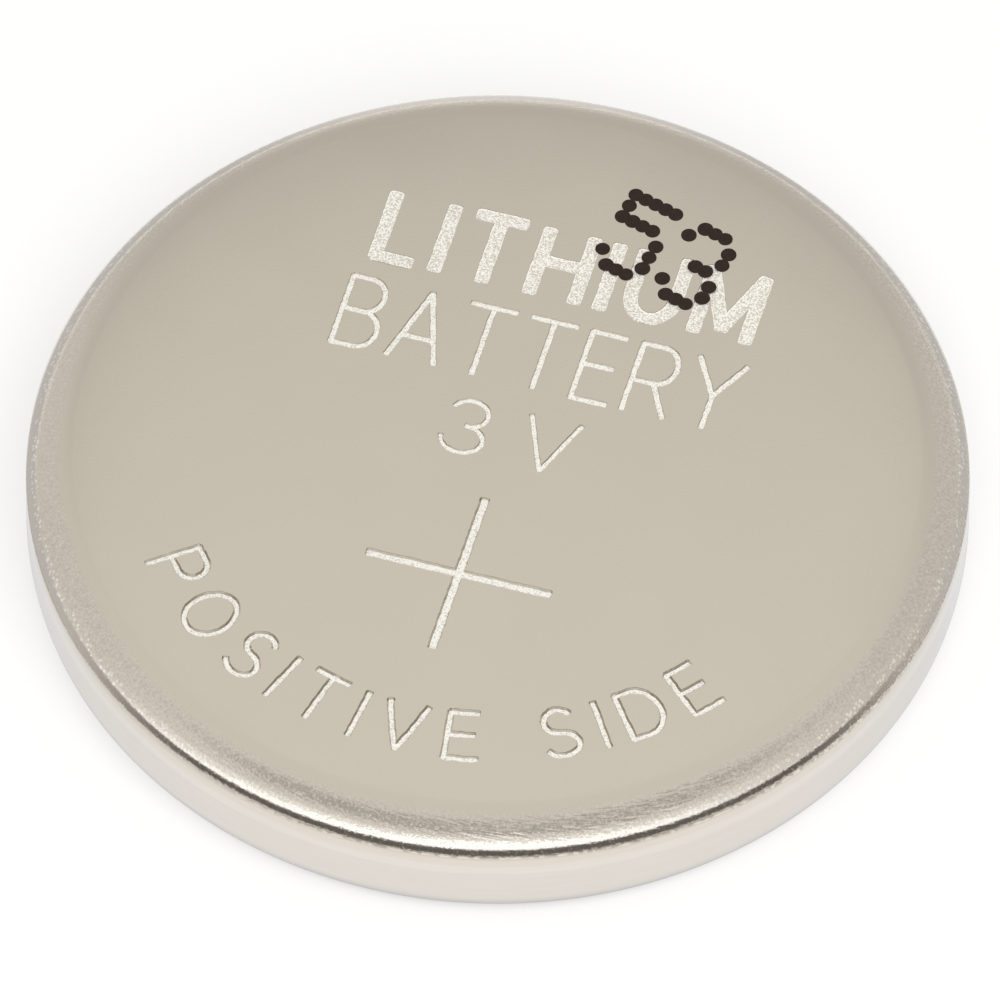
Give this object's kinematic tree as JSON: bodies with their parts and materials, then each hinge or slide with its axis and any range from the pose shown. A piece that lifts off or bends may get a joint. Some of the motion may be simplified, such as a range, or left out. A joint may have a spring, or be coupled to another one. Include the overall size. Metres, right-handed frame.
{
  "type": "lithium coin cell",
  "caption": "Flat round lithium coin cell used as a backup battery: a rolled-edge positive can crimped over a gasket and a raised negative cap, with its electrodes stacked inside.",
  "frame": {"origin": "middle of the negative contact face, which the cell rests on", "axes": "+Z along the axis of the cell, from the negative face to the positive face; +X along the reading direction of the marks on the positive face"},
  "size_m": [0.02, 0.02, 0.0032],
  "materials": {
    "can_plate": "nickel-plated stainless steel, satin face, grained roll, bright side wall",
    "cap_plate": "nickel-plated stainless steel, satin",
    "gasket_polymer": "moulded polypropylene",
    "lithium_metal": "rolled lithium metal, dull",
    "separator_fibre": "non-woven polypropylene fibre",
    "cathode_powder": "pressed manganese dioxide powder",
    "collector_steel": "pressed stainless steel"
  },
  "bodies": {
    "root": {"positive_can": "can_plate", "negative_cap": "cap_plate", "sealing_gasket": "gasket_polymer", "lithium_anode": "lithium_metal", "separator": "separator_fibre", "cathode_pellet": "cathode_powder", "collector_ring": "collector_steel"}
  },
  "joints": []
}
